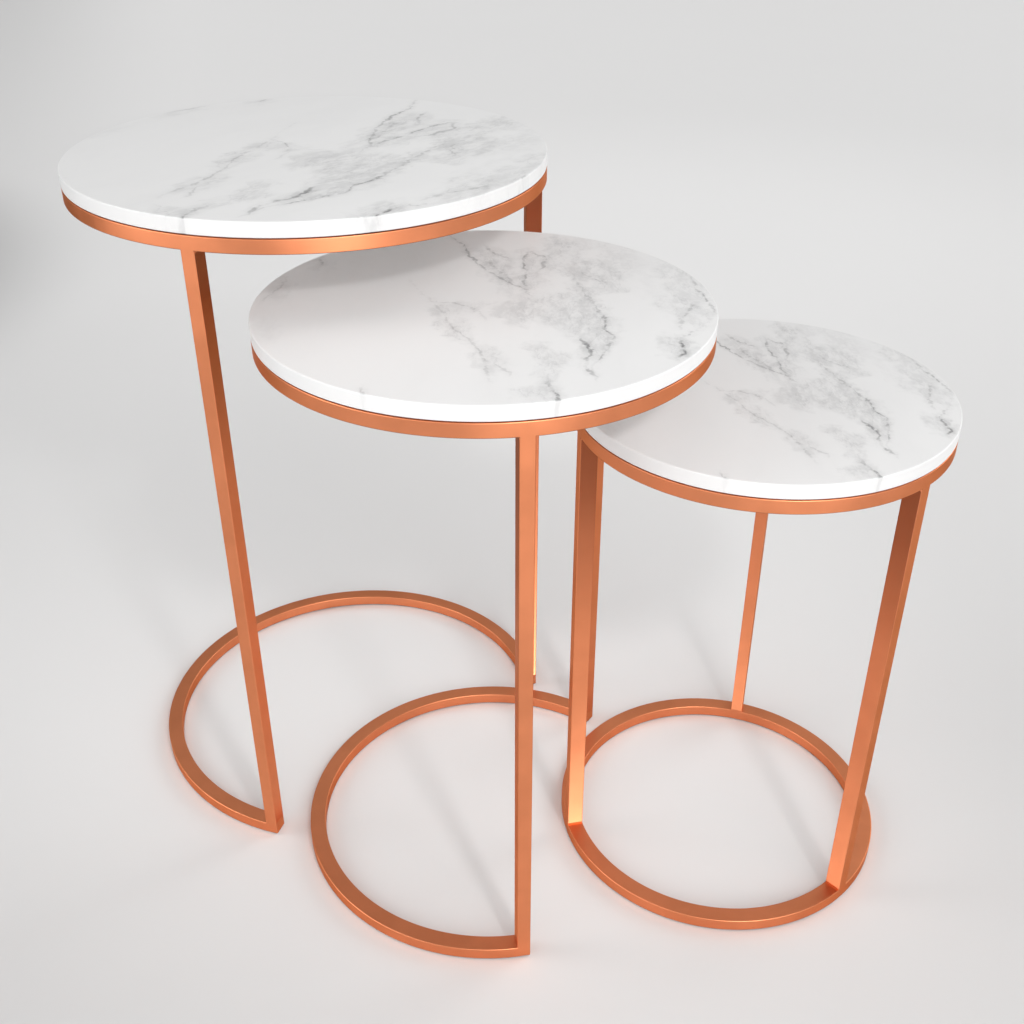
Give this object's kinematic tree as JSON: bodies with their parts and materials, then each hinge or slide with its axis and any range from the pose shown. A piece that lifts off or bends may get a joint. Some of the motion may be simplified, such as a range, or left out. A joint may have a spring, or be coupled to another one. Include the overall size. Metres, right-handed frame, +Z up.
{
  "type": "nesting tables",
  "caption": "Round side tables of stepped sizes with marble tops on slim copper-coloured ring frames; the open bases let each smaller table slide in under the next.",
  "frame": {"origin": "middle of the set's footprint on the floor", "axes": "+Z up, +X from the large table towards the small table, +Y towards the back of the set, away from the viewer"},
  "size_m": [0.7196, 0.535, 0.6036],
  "materials": {
    "marble": "polished white marble with soft grey veins",
    "copper_frame": "satin copper-coloured metal finish on steel",
    "clear_pads": "clear soft silicone",
    "foot_pads": "matt dark rubber"
  },
  "bodies": {
    "large_table": {"large_marble_top": "marble", "large_top_ring": "copper_frame", "large_base_arc": "copper_frame", "large_front_leg": "copper_frame", "large_right_leg": "copper_frame", "large_top_pad_1": "clear_pads", "large_top_pad_2": "clear_pads", "large_top_pad_3": "clear_pads", "large_top_pad_4": "clear_pads", "large_foot_pad_1": "foot_pads", "large_foot_pad_2": "foot_pads", "large_foot_pad_3": "foot_pads", "large_foot_pad_4": "foot_pads"},
    "medium_table": {"medium_marble_top": "marble", "medium_top_ring": "copper_frame", "medium_base_arc": "copper_frame", "medium_front_leg": "copper_frame", "medium_back_leg": "copper_frame", "medium_top_pad_1": "clear_pads", "medium_top_pad_2": "clear_pads", "medium_top_pad_3": "clear_pads", "medium_top_pad_4": "clear_pads", "medium_foot_pad_1": "foot_pads", "medium_foot_pad_2": "foot_pads", "medium_foot_pad_3": "foot_pads", "medium_foot_pad_4": "foot_pads"},
    "small_table": {"small_marble_top": "marble", "small_top_ring": "copper_frame", "small_base_ring": "copper_frame", "small_left_leg": "copper_frame", "small_right_leg": "copper_frame", "small_back_leg": "copper_frame", "small_top_pad_1": "clear_pads", "small_top_pad_2": "clear_pads", "small_top_pad_3": "clear_pads", "small_foot_pad_1": "foot_pads", "small_foot_pad_2": "foot_pads", "small_foot_pad_3": "foot_pads"}
  },
  "joints": [
    {"name": "medium_table_slide", "type": "slide", "parent": "large_table", "child": "medium_table", "axis": [0.6825, -0.7309, 0], "range_m": [-0.029, 0.16]},
    {"name": "small_table_slide", "type": "slide", "parent": "medium_table", "child": "small_table", "axis": [0.9521, 0.3057, 0], "range_m": [-0.108, 0.108]}
  ]
}
